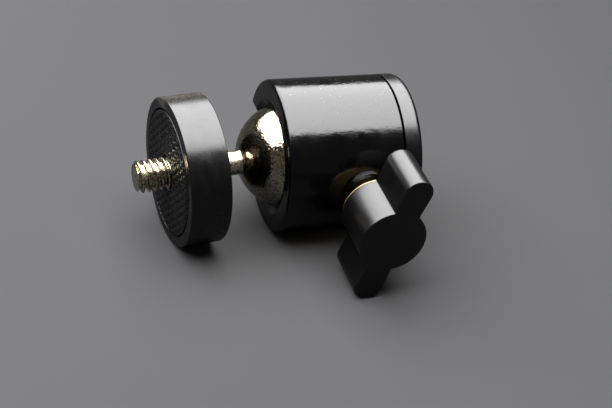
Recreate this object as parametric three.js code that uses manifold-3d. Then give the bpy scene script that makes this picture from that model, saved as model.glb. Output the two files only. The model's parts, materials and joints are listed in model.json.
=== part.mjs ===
// Mini ball head lying on its side, as it rests on a table, in millimetres with +Z up.
// The tripod end of the barrel faces +X, the camera stud faces -X and the wing knob faces -Y.
// It stands on three things: the side of the barrel, the rim of the platform disc and the tip of one wing.
import * as THREE from "three";
import { mergeVertices } from "three/addons/utils/BufferGeometryUtils.js";
import Module from "manifold-3d";

const wasm = await Module();
wasm.setup();

// Ball, stem and camera stud
const ballRadius = 10.7;
const neckRadius = 2.4;
const neckLength = 3.3;
const neckRootFillet = 0.5;
const studRadius = 3.125;
const studStickOut = 6.5;
const studTipChamfer = 0.9;

// Platform disc and the rubber pad let into its face
const discStandOff = 6.5;
const discThickness = 8;
const discRadius = 14.65;
const discEdgeChamfer = 0.3;
const discRimWidth = 2.05;
const padRecessDepth = 1.2;
const padGroove = 0.35;
const padProud = 0.35;
const padHoleRoom = 0.3;
const padEdgeChamfer = 0.25;

// Seats of the ball: a plastic ring in front of it, and a lined pressure cup behind it
const seatRingSetback = 0.2;
const seatRingLength = 2.8;
const linerThickness = 0.8;
const linerHoleRadius = 5.8;
const linerSetback = 0.2;
const cupWall = 0.63;
const cupFloor = 1.9;
const cupHoleRadius = 3.6;
const cupSetback = 0.6;

// Barrel, with the notch for the 90 degree drop opposite the knob and the boss for the clamp
const barrelWall = 3.45;
const barrelEdgeRound = 1.1;
const lipLength = 1.2;
const lipFlare = 1.05;
const notchSideRoom = 1.2;
const notchFlare = 1.1;
const bossWall = 0.9;
const bossHeight = 0.3;
const bossChamfer = 0.15;

// Clamp: the knob's screw runs in a threaded bush and pushes a wedge pin under the ramp of the cup
const screwRadius = 3;
const screwTipChamfer = 0.5;
const clampBushWall = 1.1;
const clampBushSetback = 0.2;
const wedgePinSlimness = 0.1;
const wedgePinReach = 3.2;
const wedgePinGuide = 1.2;
const wedgePinChamfer = 0.3;
const rampWall = 1;
const rampSlotSideRoom = 0.4;
const rampSlotEndRoom = 0.4;

// Wave spring and thrust washer behind the cup
const springRoom = 0.5;
const springHeight = 1.5;
const springThickness = 0.4;
const springPinRoom = 0.2;
const springSideRoom = 0.4;
const washerThickness = 0.5;
const washerMargin = 0.5;

// Base cap, which screws into the barrel, and the brass bush that holds the tripod thread
const flangeLength = 3.6;
const flangeChamfer = 0.5;
const seamWidth = 0.3;
const seamChamfer = 0.2;
const spigotLength = 2.7;
const spigotStep = 1.1;
const tripodThreadRadius = 3.2;
const tripodBushWall = 1.5;
const tripodBushFlangeWidth = 0.9;
const tripodBushFlangeThickness = 0.6;
const tripodBushSetback = 0.2;
const spannerHoleRadius = 1.1;
const spannerHoleDepth = 1.6;

// Wing knob and the brass insert moulded into it
const hubStandOff = 4;
const hubRadius = 6.6;
const knobDepth = 10.85;
const knobEdgeRound = 0.35;
const wingReach = 13.75;
const wingTipRadius = 2.85;
const wingRootHalfWidth = 2.4;
const insertWall = 1.3;
const insertLength = 7;
const insertFlangeThickness = 0.4;
const insertFlangeSetback = 0.2;
const knobCavityRoom = 0.3;

// Clearances, and the overrun of a cutting tool past the face it cuts
const ballGap = 0.1;
const seatGap = 0.1;
const fitGap = 0.25;
const lipGap = 0.2;
const cutOverrun = 1;
const mergeDistance = 0.0001;

// Angles in degrees: the ramp of the clamp, and the swing of the stem and lean of the wings at rest
const rampDegrees = 20;
const stemSwingDegrees = 5.9;
const wingLeanDegrees = 17.5;

// Facets and waves
const outerSides = 64;
const innerSides = 40;
const smallSides = 32;
const ballRings = 24;
const roundSteps = 4;
const bevelSteps = 2;
const zoneSteps = 6;
const springWaves = 3;

const ramp = THREE.MathUtils.degToRad(rampDegrees);
const stemSwing = THREE.MathUtils.degToRad(stemSwingDegrees);
const wingLean = THREE.MathUtils.degToRad(wingLeanDegrees);
const quarterTurn = Math.PI / 2;

// Half the width, at a distance from the centre, of a circle of a given radius.
const chord = (radius, distance) => Math.sqrt(radius ** 2 - distance ** 2);

// Radii round the ball, from its own surface outwards
const seatSphereRadius = ballRadius + ballGap;
const linerOuterRadius = seatSphereRadius + linerThickness;
const cupSphereRadius = linerOuterRadius + seatGap;

// Stations along the barrel's axis from the centre of the ball, positive towards the mouth
const notchHalfWidth = neckRadius + notchSideRoom;
const cupFront = -notchHalfWidth - cupSetback;
const cupBack = -cupSphereRadius - cupFloor;
const seatRingFront = seatRingSetback + seatRingLength;
const lipBack = seatRingFront + seatGap;
const barrelFront = lipBack + lipLength;
const springTop = cupBack - springRoom;
const springBottom = springTop - springHeight;
const washerTop = springBottom - seatGap;
const washerBottom = washerTop - washerThickness;
const spigotTop = washerBottom - seatGap;
const barrelBack = spigotTop - spigotLength;
const flangeTop = barrelBack - seamWidth;
const baseFace = flangeTop - flangeLength;

// Radii of the barrel and what fits in it
const cupRadius = chord(cupSphereRadius, cupFront) + cupWall;
const boreRadius = cupRadius + fitGap;
const barrelRadius = boreRadius + barrelWall;
const lipRadius = chord(ballRadius + lipGap, lipBack);
const mouthRadius = lipRadius + lipFlare;
const counterboreRadius = boreRadius + spigotStep;
const tripodBushRadius = tripodThreadRadius + tripodBushWall;
const tripodBushFlangeRadius = tripodBushRadius + tripodBushFlangeWidth;
const springInnerRadius = tripodBushFlangeRadius + springSideRoom;

// Stations along the stem from the centre of the ball
const neckEnd = ballRadius + neckLength;
const discBack = ballRadius + discStandOff;
const discFront = discBack + discThickness;
const recessFloor = discFront - padRecessDepth;
const studTip = discFront + studStickOut;
const recessRadius = discRadius - discRimWidth;

// Clamp: distances from the barrel's axis along the clamp axis, and how far that axis lies behind the ball
const wedgePinRadius = screwRadius - wedgePinSlimness;
const wedgePinTip = boreRadius - wedgePinReach;
const springOuterRadius = wedgePinTip - springPinRoom;
const rampSlotEnd = wedgePinTip - rampSlotEndRoom;
const rampFoot = chord(cupSphereRadius + rampWall, rampSlotEnd);
const rampGap = fitGap / Math.cos(ramp);
const clampAxisBack = rampFoot + rampGap + wedgePinRadius - (boreRadius - rampSlotEnd) * Math.tan(ramp);
const clampBushBack = boreRadius + clampBushSetback;
const clampBoreRadius = screwRadius + seatGap;
const clampBushRadius = clampBoreRadius + clampBushWall;
const clampHoleRadius = clampBushRadius + seatGap;
const bossRadius = clampHoleRadius + bossWall;
const bossTop = barrelRadius + bossHeight;
const wedgePinTop = clampBushBack + wedgePinGuide;
const screwTip = wedgePinTop + seatGap;
const hubBack = bossTop + hubStandOff;
const knobFace = hubBack + knobDepth;
const insertRadius = screwRadius + seatGap + insertWall;
const insertEnd = hubBack + insertLength;

// A finish given by colour, roughness and metalness.
function finish(color, roughness, metalness) {
  return new THREE.MeshStandardMaterial({ color, roughness, metalness });
}

const glossPaint = finish("#0b0b0b", 0.22, 0.1);
const satinBlack = finish("#1b1b1c", 0.42, 0.3);
const padRubber = finish("#0d0d0e", 0.55, 0);
const nickelPlate = finish("#c9c3b4", 0.12, 1);
const springSteel = finish("#b7b5b0", 0.3, 1);
const brass = finish("#b8923f", 0.3, 1);
const acetal = finish("#131313", 0.45, 0);
const castZinc = finish("#8f9092", 0.5, 0.9);
const knobPlastic = finish("#151516", 0.45, 0);

// A closed solid from a geometry: only its positions, shared corners merged and empty triangles dropped.
function solid(geometry) {
  const bare = new THREE.BufferGeometry();
  const loose = geometry.index ? geometry.toNonIndexed() : geometry;
  bare.setAttribute("position", loose.getAttribute("position"));
  const merged = mergeVertices(bare, mergeDistance);
  const corners = merged.index.array;
  const kept = [];
  for (let i = 0; i < corners.length; i += 3) {
    const [a, b, c] = corners.subarray(i, i + 3);
    if (a !== b && b !== c && c !== a) kept.push(a, b, c);
  }
  const vertProperties = merged.getAttribute("position").array;
  const triVerts = new Uint32Array(kept);
  return new wasm.Manifold(new wasm.Mesh({ numProp: 3, vertProperties, triVerts }));
}

// The geometry of a solid, for its mesh in the scene.
function toGeometry(shape) {
  const mesh = shape.getMesh();
  const geometry = new THREE.BufferGeometry();
  geometry.setAttribute("position", new THREE.BufferAttribute(mesh.vertProperties, 3));
  geometry.setIndex(new THREE.BufferAttribute(mesh.triVerts, 1));
  geometry.computeVertexNormals();
  return geometry;
}

// A body of revolution about Y from the [radius, height] corners of its section, listed either way round.
function revolve(section, sides) {
  const next = (i) => section[(i + 1) % section.length];
  const twiceArea = section.reduce((sum, [r, y], i) => sum + r * next(i)[1] - next(i)[0] * y, 0);
  const ordered = twiceArea > 0 ? section : [...section].reverse();
  const outline = [...ordered, ordered[0]].map(([r, y]) => new THREE.Vector2(r, y));
  return new THREE.LatheGeometry(outline, sides);
}

// A ring or, with no inner radius, a disc about Y.
function ring(innerRadius, outerRadius, bottom, top, sides) {
  const section = [
    [innerRadius, bottom],
    [outerRadius, bottom],
    [outerRadius, top],
    [innerRadius, top],
  ];
  return revolve(section, sides);
}

// Points of an arc about a centre between two angles, both ends included.
function arc([centreRadius, centreHeight], radius, from, to, steps) {
  return Array.from({ length: steps + 1 }, (_, i) => {
    const angle = from + ((to - from) * i) / steps;
    return [centreRadius + radius * Math.cos(angle), centreHeight + radius * Math.sin(angle)];
  });
}

// The zone of a sphere about the ball's centre between two heights.
function sphereZone(radius, fromHeight, toHeight) {
  return arc([0, 0], radius, Math.asin(fromHeight / radius), Math.asin(toHeight / radius), zoneSteps);
}

// Lays a geometry made about Y along the clamp axis, its height now the distance from the barrel's axis.
function alongClamp(geometry) {
  return geometry.rotateX(quarterTurn).translate(0, -clampAxisBack, 0);
}

// An outline in the plane of the clamp axis and the barrel's axis, extruded evenly to both sides of it.
function acrossClamp(corners, halfWidth) {
  const shape = new THREE.Shape(corners.map(([height, y]) => new THREE.Vector2(height, y)));
  const plate = new THREE.ExtrudeGeometry(shape, { depth: halfWidth + halfWidth, bevelEnabled: false });
  return plate.translate(0, 0, -halfWidth).rotateY(-quarterTurn);
}

// The slot that lets the neck drop to 90 degrees: round at its bottom, flared where it meets the mouth.
function notch(sideRoom) {
  const half = notchHalfWidth + sideRoom;
  const flareX = half + notchFlare;
  const flareY = barrelFront - notchFlare;
  const shape = new THREE.Shape();
  shape.moveTo(flareX, barrelFront + cutOverrun);
  shape.lineTo(-flareX, barrelFront + cutOverrun);
  shape.lineTo(-flareX, barrelFront);
  shape.absarc(-flareX, flareY, notchFlare, quarterTurn, 0, true);
  shape.lineTo(-half, 0);
  shape.absarc(0, 0, half, Math.PI, Math.PI + Math.PI, false);
  shape.lineTo(half, flareY);
  shape.absarc(flareX, flareY, notchFlare, Math.PI, quarterTurn, true);
  const depth = barrelRadius + cutOverrun;
  return new THREE.ExtrudeGeometry(shape, { depth, bevelEnabled: false }).translate(0, 0, -depth);
}

// Die-cast barrel: a turned body whose lip holds the ball in, with the notch, the boss and its hole.
function barrelHousing() {
  const mouthEdge = [barrelRadius - barrelEdgeRound, barrelFront - barrelEdgeRound];
  const body = revolve(
    [
      [lipRadius, lipBack],
      [mouthRadius, barrelFront],
      ...arc(mouthEdge, barrelEdgeRound, quarterTurn, 0, roundSteps),
      [barrelRadius, barrelBack + seamChamfer],
      [barrelRadius - seamChamfer, barrelBack],
      [counterboreRadius, barrelBack],
      [counterboreRadius, spigotTop + seatGap],
      [boreRadius, spigotTop + seatGap],
      [boreRadius, lipBack],
    ],
    outerSides,
  );
  const bossFoot = (boreRadius + barrelRadius) / 2;
  const boss = revolve(
    [
      [0, bossFoot],
      [bossRadius, bossFoot],
      [bossRadius, bossTop - bossChamfer],
      [bossRadius - bossChamfer, bossTop],
      [0, bossTop],
    ],
    innerSides,
  );
  const hole = ring(0, clampHoleRadius, 0, bossTop + cutOverrun, smallSides);
  const blank = solid(body).add(solid(alongClamp(boss)));
  return blank.subtract(solid(notch(0))).subtract(solid(alongClamp(hole)));
}

// Acetal ring that the ball turns against at the mouth, open where the notch is.
function seatRing() {
  const outerRadius = boreRadius - fitGap;
  const section = [
    ...sphereZone(seatSphereRadius, seatRingSetback, seatRingFront),
    [outerRadius, seatRingFront],
    [outerRadius, seatRingSetback],
  ];
  return solid(revolve(section, innerSides)).subtract(solid(notch(seatGap)));
}

// Height of the ramp's plane along the barrel's axis, at a distance from that axis along the clamp.
const rampHeight = (distance) => -rampFoot + (distance - rampSlotEnd) * Math.tan(ramp);

// Pressure cup: a hollow piston behind the ball, with the ramped slot for the wedge pin in its back.
function pressureCup() {
  const section = [
    [cupRadius, cupFront],
    [cupRadius, cupBack],
    [cupHoleRadius, cupBack],
    ...sphereZone(cupSphereRadius, -chord(cupSphereRadius, cupHoleRadius), cupFront),
  ];
  const outside = cupRadius + cutOverrun;
  const slot = acrossClamp(
    [
      [rampSlotEnd, cupBack - cutOverrun],
      [outside, cupBack - cutOverrun],
      [outside, rampHeight(outside)],
      [rampSlotEnd, rampHeight(rampSlotEnd)],
    ],
    wedgePinRadius + rampSlotSideRoom,
  );
  return solid(revolve(section, innerSides)).subtract(solid(slot));
}

// Acetal liner of the cup, a zone of a spherical shell.
function cupLiner() {
  const back = -chord(seatSphereRadius, linerHoleRadius);
  const front = cupFront - linerSetback;
  const section = [
    ...sphereZone(linerOuterRadius, back, front),
    ...sphereZone(seatSphereRadius, front, back),
  ];
  return solid(revolve(section, innerSides));
}

// Wave spring: a flat ring whose height rises and falls round the circle.
function waveSpring() {
  const swing = (springHeight - springThickness) / 2;
  const middle = (springTop + springBottom) / 2;
  const bottom = middle - springThickness / 2;
  const flat = ring(springInnerRadius, springOuterRadius, bottom, bottom + springThickness, innerSides);
  const position = flat.getAttribute("position");
  for (let i = 0; i < position.count; i += 1) {
    const angle = Math.atan2(position.getZ(i), position.getX(i));
    position.setY(i, position.getY(i) + swing * Math.cos(springWaves * angle));
  }
  return solid(flat);
}

// Thrust washer that keeps the spring off the base cap.
function thrustWasher() {
  const innerRadius = tripodBushFlangeRadius + fitGap;
  const outerRadius = springOuterRadius + washerMargin;
  return solid(ring(innerRadius, outerRadius, washerBottom, washerTop, innerSides));
}

// Base cap: a flange that continues the barrel, a spigot that screws into it and two spanner holes.
function baseCap() {
  const hole = tripodBushRadius + seatGap;
  const spigotRadius = counterboreRadius - fitGap;
  const body = revolve(
    [
      [hole, baseFace],
      [barrelRadius - flangeChamfer, baseFace],
      [barrelRadius, baseFace + flangeChamfer],
      [barrelRadius, flangeTop - seamChamfer],
      [barrelRadius - seamChamfer, flangeTop],
      [spigotRadius, flangeTop],
      [spigotRadius, spigotTop],
      [hole, spigotTop],
    ],
    outerSides,
  );
  const circleRadius = (hole + barrelRadius) / 2;
  const holeEnd = baseFace + spannerHoleDepth;
  const spannerHole = ring(0, spannerHoleRadius, baseFace - cutOverrun, holeEnd, smallSides);
  const upper = solid(spannerHole.clone().translate(circleRadius, 0, 0));
  const lower = solid(spannerHole.clone().translate(-circleRadius, 0, 0));
  return solid(body).subtract(upper).subtract(lower);
}

// Tripod bush: its flange bears on the inside of the cap, so a tripod screw can't pull it out.
function baseThreadInsert() {
  const flangeBottom = spigotTop + seatGap;
  const top = flangeBottom + tripodBushFlangeThickness;
  const bottom = baseFace + tripodBushSetback;
  const section = [
    [tripodThreadRadius, bottom],
    [tripodBushRadius, bottom],
    [tripodBushRadius, flangeBottom],
    [tripodBushFlangeRadius, flangeBottom],
    [tripodBushFlangeRadius, top],
    [tripodThreadRadius, top],
  ];
  return solid(revolve(section, innerSides));
}

// Threaded bush pressed into the boss. The wedge pin slides in its inner end.
function clampBush() {
  return solid(ring(clampBoreRadius, clampBushRadius, clampBushBack, bossTop, smallSides));
}

// Wedge pin: a round pin with a flat that lies against the ramp of the cup.
function wedgePin() {
  const section = [
    [0, wedgePinTip],
    [wedgePinRadius - wedgePinChamfer, wedgePinTip],
    [wedgePinRadius, wedgePinTip + wedgePinChamfer],
    [wedgePinRadius, wedgePinTop],
    [0, wedgePinTop],
  ];
  const below = wedgePinTip - cutOverrun;
  const above = boreRadius;
  const clear = cupFront;
  const flat = acrossClamp(
    [
      [below, rampHeight(below) - rampGap],
      [above, rampHeight(above) - rampGap],
      [above, clear],
      [below, clear],
    ],
    wedgePinRadius + cutOverrun,
  );
  return solid(alongClamp(revolve(section, smallSides))).subtract(solid(flat));
}

// Clamp screw, plain here where the real one is threaded.
function clampScrew() {
  const section = [
    [0, screwTip],
    [screwRadius - screwTipChamfer, screwTip],
    [screwRadius, screwTip + screwTipChamfer],
    [screwRadius, insertEnd],
    [0, insertEnd],
  ];
  return solid(revolve(section, smallSides));
}

// Brass insert: a sleeve on the screw with a flange that shows as a thin line behind the hub.
function knobInsert() {
  const flangeRadius = hubRadius - insertFlangeSetback;
  const flangeFront = hubBack - seatGap;
  const bore = screwRadius + seatGap;
  const section = [
    [bore, flangeFront - insertFlangeThickness],
    [flangeRadius, flangeFront - insertFlangeThickness],
    [flangeRadius, flangeFront],
    [insertRadius, flangeFront],
    [insertRadius, insertEnd],
    [bore, insertEnd],
  ];
  return solid(revolve(section, smallSides));
}

// Outline of one wing, which widens from the hub to its round tip and is tangent to that tip.
function wingOutline(tipDistance) {
  const slope = Math.asin((wingTipRadius - wingRootHalfWidth) / tipDistance);
  const shape = new THREE.Shape();
  shape.moveTo(0, -wingRootHalfWidth);
  shape.absarc(tipDistance, 0, wingTipRadius, -quarterTurn - slope, quarterTurn + slope, false);
  shape.lineTo(0, wingRootHalfWidth);
  return shape;
}

// Wing knob: a round hub and two wings of the same depth, cored out from the back for the insert.
function wingKnob() {
  const bevel = {
    depth: knobDepth - knobEdgeRound - knobEdgeRound,
    bevelThickness: knobEdgeRound,
    bevelSize: knobEdgeRound,
    bevelOffset: -knobEdgeRound,
    bevelSegments: bevelSteps,
  };
  const wingShape = wingOutline(wingReach - wingTipRadius);
  const wing = new THREE.ExtrudeGeometry(wingShape, { ...bevel, curveSegments: zoneSteps });
  const hubShape = new THREE.Shape().absarc(0, 0, hubRadius, 0, Math.PI + Math.PI, false);
  const hub = new THREE.ExtrudeGeometry(hubShape, { ...bevel, curveSegments: smallSides });
  const opposite = wing.clone().rotateZ(Math.PI);
  const stand = (geometry) => solid(geometry.rotateX(-quarterTurn).translate(0, hubBack + knobEdgeRound, 0));
  const cavityEnd = insertEnd + knobCavityRoom;
  const cavity = ring(0, insertRadius + seatGap, hubBack - cutOverrun, cavityEnd, smallSides);
  return stand(hub).add(stand(wing)).add(stand(opposite)).subtract(solid(cavity));
}

// Ball, with its poles on the stem.
function ball() {
  return solid(new THREE.SphereGeometry(ballRadius, innerSides, ballRings));
}

// Stem and stud in one piece: a hollow root that fits the ball, a smooth neck and the stud's thread radius.
function threadedStud() {
  const rootSphere = ballRadius + seatGap;
  const rootRadius = neckRadius + neckRootFillet;
  const rootHeight = chord(rootSphere, rootRadius);
  const filletCentre = [rootRadius, rootHeight + neckRootFillet];
  const section = [
    ...arc([0, 0], rootSphere, quarterTurn, Math.asin(rootHeight / rootSphere), roundSteps),
    ...arc(filletCentre, neckRootFillet, -quarterTurn, -Math.PI, roundSteps).slice(1),
    [neckRadius, neckEnd],
    [studRadius, neckEnd + studRadius - neckRadius],
    [studRadius, studTip - studTipChamfer],
    [studRadius - studTipChamfer, studTip],
    [0, studTip],
  ];
  return solid(revolve(section, smallSides));
}

// Platform disc with the recess for its pad.
function platformDisc() {
  const hole = studRadius + seatGap;
  const section = [
    [hole, discBack],
    [discRadius - discEdgeChamfer, discBack],
    [discRadius, discBack + discEdgeChamfer],
    [discRadius, discFront - discEdgeChamfer],
    [discRadius - discEdgeChamfer, discFront],
    [recessRadius, discFront],
    [recessRadius, recessFloor],
    [hole, recessFloor],
  ];
  return solid(revolve(section, outerSides));
}

// Rubber pad, a little proud of the disc's rim.
function platformPad() {
  const outerRadius = recessRadius - padGroove;
  const innerRadius = studRadius + padHoleRoom;
  const face = discFront + padProud;
  const section = [
    [innerRadius, recessFloor + seatGap],
    [outerRadius, recessFloor + seatGap],
    [outerRadius, face - padEdgeChamfer],
    [outerRadius - padEdgeChamfer, face],
    [innerRadius, face],
  ];
  return solid(revolve(section, outerSides));
}

// The barrel rolls until the tip of its lower wing touches the table.
const wingFoot = (wingReach - wingTipRadius) * Math.cos(wingLean) + wingTipRadius;
const wingFootDistance = knobFace - knobEdgeRound;
const wingFootReach = Math.hypot(wingFoot, wingFootDistance);
const roll = Math.asin(barrelRadius / wingFootReach) - Math.atan2(wingFoot, wingFootDistance);

// The stem dips until the rim of the disc touches the table too.
const rimDistance = discFront - discEdgeChamfer;
const rimReach = Math.hypot(discRadius, rimDistance);
const stemDip = Math.asin(barrelRadius / rimReach) - Math.atan2(discRadius, rimDistance);

const ballHead = new THREE.Group();
const lying = new THREE.Group();
ballHead.add(lying);

// Frame of the barrel: the origin is in the ball, +Y points out of the mouth and +Z to the knob.
const housing = new THREE.Group();
housing.position.set(0, 0, barrelRadius);
housing.rotation.set(quarterTurn + roll, 0, quarterTurn);
lying.add(housing);

// Frame of the clamp: +Y points to the knob. The knob turns about it.
const clamp = new THREE.Group();
clamp.position.set(0, -clampAxisBack, 0);
clamp.rotation.set(quarterTurn, 0, 0);
housing.add(clamp);
const knob = new THREE.Group();
knob.rotation.set(0, -wingLean, 0);
clamp.add(knob);

// Frame of the stem: +Y points to the stud's tip. It tilts sideways first, then towards the knob.
const stemLevel = Math.cos(stemDip);
const stemDirection = new THREE.Vector3(
  -stemLevel * Math.cos(stemSwing),
  -stemLevel * Math.sin(stemSwing),
  -Math.sin(stemDip),
).applyQuaternion(housing.quaternion.clone().invert());
const stem = new THREE.Group();
stem.rotation.order = "ZXY";
stem.rotation.x = Math.asin(stemDirection.z);
stem.rotation.z = Math.atan2(-stemDirection.x, stemDirection.y);
housing.add(stem);

// Adds one piece of the ball head to the frame that carries it.
function addPiece(parent, name, shape, material) {
  const mesh = new THREE.Mesh(toGeometry(shape), material);
  mesh.name = name;
  parent.add(mesh);
}

addPiece(housing, "barrel_housing", barrelHousing(), glossPaint);
addPiece(housing, "base_cap", baseCap(), satinBlack);
addPiece(housing, "base_thread_insert", baseThreadInsert(), brass);
addPiece(housing, "seat_ring", seatRing(), acetal);
addPiece(housing, "pressure_cup", pressureCup(), castZinc);
addPiece(housing, "cup_liner", cupLiner(), acetal);
addPiece(housing, "wave_spring", waveSpring(), springSteel);
addPiece(housing, "thrust_washer", thrustWasher(), springSteel);
addPiece(housing, "wedge_pin", wedgePin(), springSteel);
addPiece(clamp, "clamp_bush", clampBush(), brass);
addPiece(knob, "clamp_screw", clampScrew(), springSteel);
addPiece(knob, "knob_insert", knobInsert(), brass);
addPiece(knob, "wing_knob", wingKnob(), knobPlastic);
addPiece(stem, "ball", ball(), nickelPlate);
addPiece(stem, "threaded_stud", threadedStud(), nickelPlate);
addPiece(stem, "platform_disc", platformDisc(), satinBlack);
addPiece(stem, "platform_pad", platformPad(), padRubber);

// The origin is under the middle of the whole, at table height.
ballHead.updateMatrixWorld(true);
const bounds = new THREE.Box3().setFromObject(ballHead, true);
const middle = bounds.getCenter(new THREE.Vector3());
lying.position.set(-middle.x, -middle.y, -bounds.min.z);

export default ballHead;
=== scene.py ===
"""Looks of a mini photo ball head that lies on its side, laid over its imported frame."""
import json
import logging
import math
from dataclasses import dataclass
from enum import Enum

import bmesh
import bpy
import numpy as np
from mathutils import Matrix


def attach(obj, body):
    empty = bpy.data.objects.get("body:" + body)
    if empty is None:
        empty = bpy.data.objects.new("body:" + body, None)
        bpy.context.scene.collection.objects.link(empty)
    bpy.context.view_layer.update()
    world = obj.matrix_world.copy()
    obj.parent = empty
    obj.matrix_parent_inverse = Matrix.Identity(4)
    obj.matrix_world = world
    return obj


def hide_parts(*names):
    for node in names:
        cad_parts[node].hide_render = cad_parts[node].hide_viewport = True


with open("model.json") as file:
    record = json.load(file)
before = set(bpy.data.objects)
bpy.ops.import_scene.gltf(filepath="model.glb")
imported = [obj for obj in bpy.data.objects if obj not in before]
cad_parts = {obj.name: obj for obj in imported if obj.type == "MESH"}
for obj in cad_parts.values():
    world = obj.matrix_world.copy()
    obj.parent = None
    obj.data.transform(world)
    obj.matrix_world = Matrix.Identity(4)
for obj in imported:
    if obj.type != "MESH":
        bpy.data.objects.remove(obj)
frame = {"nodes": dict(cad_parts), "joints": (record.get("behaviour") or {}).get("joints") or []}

Tree = bpy.types.NodeTree
Node = bpy.types.Node
Socket = bpy.types.NodeSocket

log = logging.getLogger("ball_head")
MM = 0.001
MERGE_MM = 0.0002
TINY = 1e-9
WHITE = (1.0, 1.0, 1.0, 1.0)
JOINTS = {joint["name"]: joint for joint in frame["joints"]}


def linear(hex_color: str) -> tuple[float, ...]:
    """Turns an sRGB hex colour to linear light.

    Below 0.04045 a channel is divided by 12.92, and above it the 2.4 power curve holds.

    Args:
        hex_color: Colour such as "#1c1c1e".

    Returns:
        Red, green, blue and an alpha of one.
    """
    srgb = np.array([int(hex_color[i:i + 2], 16) for i in (1, 3, 5)]) / 255
    curve = ((srgb + 0.055) / 1.055) ** 2.4
    return (*np.where(srgb <= 0.04045, srgb / 12.92, curve).tolist(), 1.0)


def unit(vectors: np.ndarray) -> np.ndarray:
    """Returns vectors divided by their lengths, with zero vectors left at zero."""
    length = np.linalg.norm(vectors, axis=-1, keepdims=True)
    return vectors / np.where(length > TINY * MM, length, 1.0)


def full_circle(columns: int) -> np.ndarray:
    """Returns even angles round a full turn, in radians, without the one that closes it."""
    return np.linspace(0, 2 * np.pi, columns, endpoint=False)


def around(radius: np.ndarray, angle: np.ndarray, height: np.ndarray | float) -> np.ndarray:
    """Returns points round Y: x is r cos a, y is the height and z is r sin a."""
    return np.stack([radius * np.cos(angle), height + 0 * radius * angle, radius * np.sin(angle)], axis=-1)


def bend(t: np.ndarray, start: np.ndarray, middle: np.ndarray, end: np.ndarray | float) -> np.ndarray:
    """Returns a quadratic curve: start by (1 - t) squared, middle by 2 t (1 - t) and end by t squared."""
    return (1 - t) ** 2 * start + 2 * t * (1 - t) * middle + t**2 * end


def bend_rows(start: np.ndarray, middle: np.ndarray, end: np.ndarray, steps: int) -> np.ndarray:
    """Returns rows along quadratic curves, one curve in each column, both ends included."""
    return bend(np.linspace(0, 1, steps + 1)[:, None, None], start, middle, end)


def straight_rows(start: np.ndarray, end: np.ndarray, steps: int) -> np.ndarray:
    """Returns rows of even steps from one row of points to another, both included."""
    return start + (end - start) * np.linspace(0, 1, steps + 1)[:, None, None]


def quads(index: np.ndarray) -> np.ndarray:
    """Returns the four corners of each cell between neighbouring rows and columns of point numbers."""
    cells = np.stack([index[:-1, :-1], index[1:, :-1], index[1:, 1:], index[:-1, 1:]], axis=-1)
    return cells.reshape(-1, 4)


def add_node(tree: Tree, kind: str, settings: dict, inputs: dict) -> Node:
    """Adds one shader node.

    Args:
        tree: Node tree that gets the node.
        kind: Type name of the node.
        settings: Attribute values by name.
        inputs: Value, or output socket to link, by input name or index.

    Returns:
        The new node.
    """
    node = tree.nodes.new(kind)
    for name, value in settings.items():
        setattr(node, name, value)
    for name, value in inputs.items():
        if isinstance(value, Socket):
            tree.links.new(value, node.inputs[name])
        else:
            node.inputs[name].default_value = value
    return node


@dataclass(frozen=True)
class Axes:
    """Right-handed axes in the row frame: an origin in metres and the unit X and Y directions."""

    origin: np.ndarray
    across: np.ndarray
    along: np.ndarray

    @property
    def matrix(self) -> np.ndarray:
        """Columns X, Y and Z, where Z is X cross Y."""
        return np.stack([self.across, self.along, np.cross(self.across, self.along)], axis=1)

    def place(self, points: np.ndarray) -> np.ndarray:
        """Takes points in millimetres on these axes to metres in the row frame."""
        return self.origin + points @ self.matrix.T * MM

    def turned(self, angle: float) -> "Axes":
        """Turns X towards minus Z about Y by an angle in radians."""
        third = np.cross(self.across, self.along)
        return Axes(self.origin, math.cos(angle) * self.across - math.sin(angle) * third, self.along)

    @property
    def to_local(self) -> tuple[Matrix, tuple[float, ...]]:
        """Rotation matrix and shift that bring the row frame's coordinates to these axes."""
        rotation = Matrix(self.matrix.T.tolist())
        return rotation, tuple((-self.matrix.T @ self.origin).tolist())


def joint_vector(name: str, key: str) -> np.ndarray:
    """Returns the place or the axis of a joint of the frame."""
    return np.array(JOINTS[name][key], float)


CENTRE = joint_vector("ball_spin", "pos_m")
TO_KNOB = unit(joint_vector("knob_turn", "axis"))
OUT_OF_MOUTH = -unit(joint_vector("cup_travel", "axis"))
HOUSING = Axes(CENTRE, unit(np.cross(OUT_OF_MOUTH, TO_KNOB)), OUT_OF_MOUTH)
CLAMP = Axes(joint_vector("knob_turn", "pos_m"), HOUSING.across, TO_KNOB)
STEM = Axes(CENTRE, -unit(joint_vector("ball_drop_tilt", "axis")), unit(joint_vector("ball_spin", "axis")))


@dataclass(frozen=True)
class Wear:
    """Patches of more and less gloss: a noise with a size in millimetres, read between two levels."""

    size: float
    detail: float
    low: float
    high: float
    least: float
    most: float

    def wire(self, tree: Tree, shader: Node, place: Socket, roughness: float) -> None:
        """Wires the patches to the shader's roughness.

        As the noise runs from its low level to its high one, the roughness runs from the least to the most
        of its own value.

        Args:
            tree: Node tree of the material.
            shader: Its principled shader.
            place: Coordinates on the piece's own axes, in metres.
            roughness: Roughness of the finish.
        """
        noise = add_node(tree, "ShaderNodeTexNoise", {}, {
            "Vector": place,
            "Scale": 1 / (self.size * MM),
            "Detail": self.detail,
        })
        level = add_node(tree, "ShaderNodeMapRange", {}, {
            "Value": noise.outputs["Fac"],
            "From Min": self.low,
            "From Max": self.high,
            "To Min": roughness * self.least,
            "To Max": roughness * self.most,
        })
        tree.links.new(level.outputs["Result"], shader.inputs["Roughness"])


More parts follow.
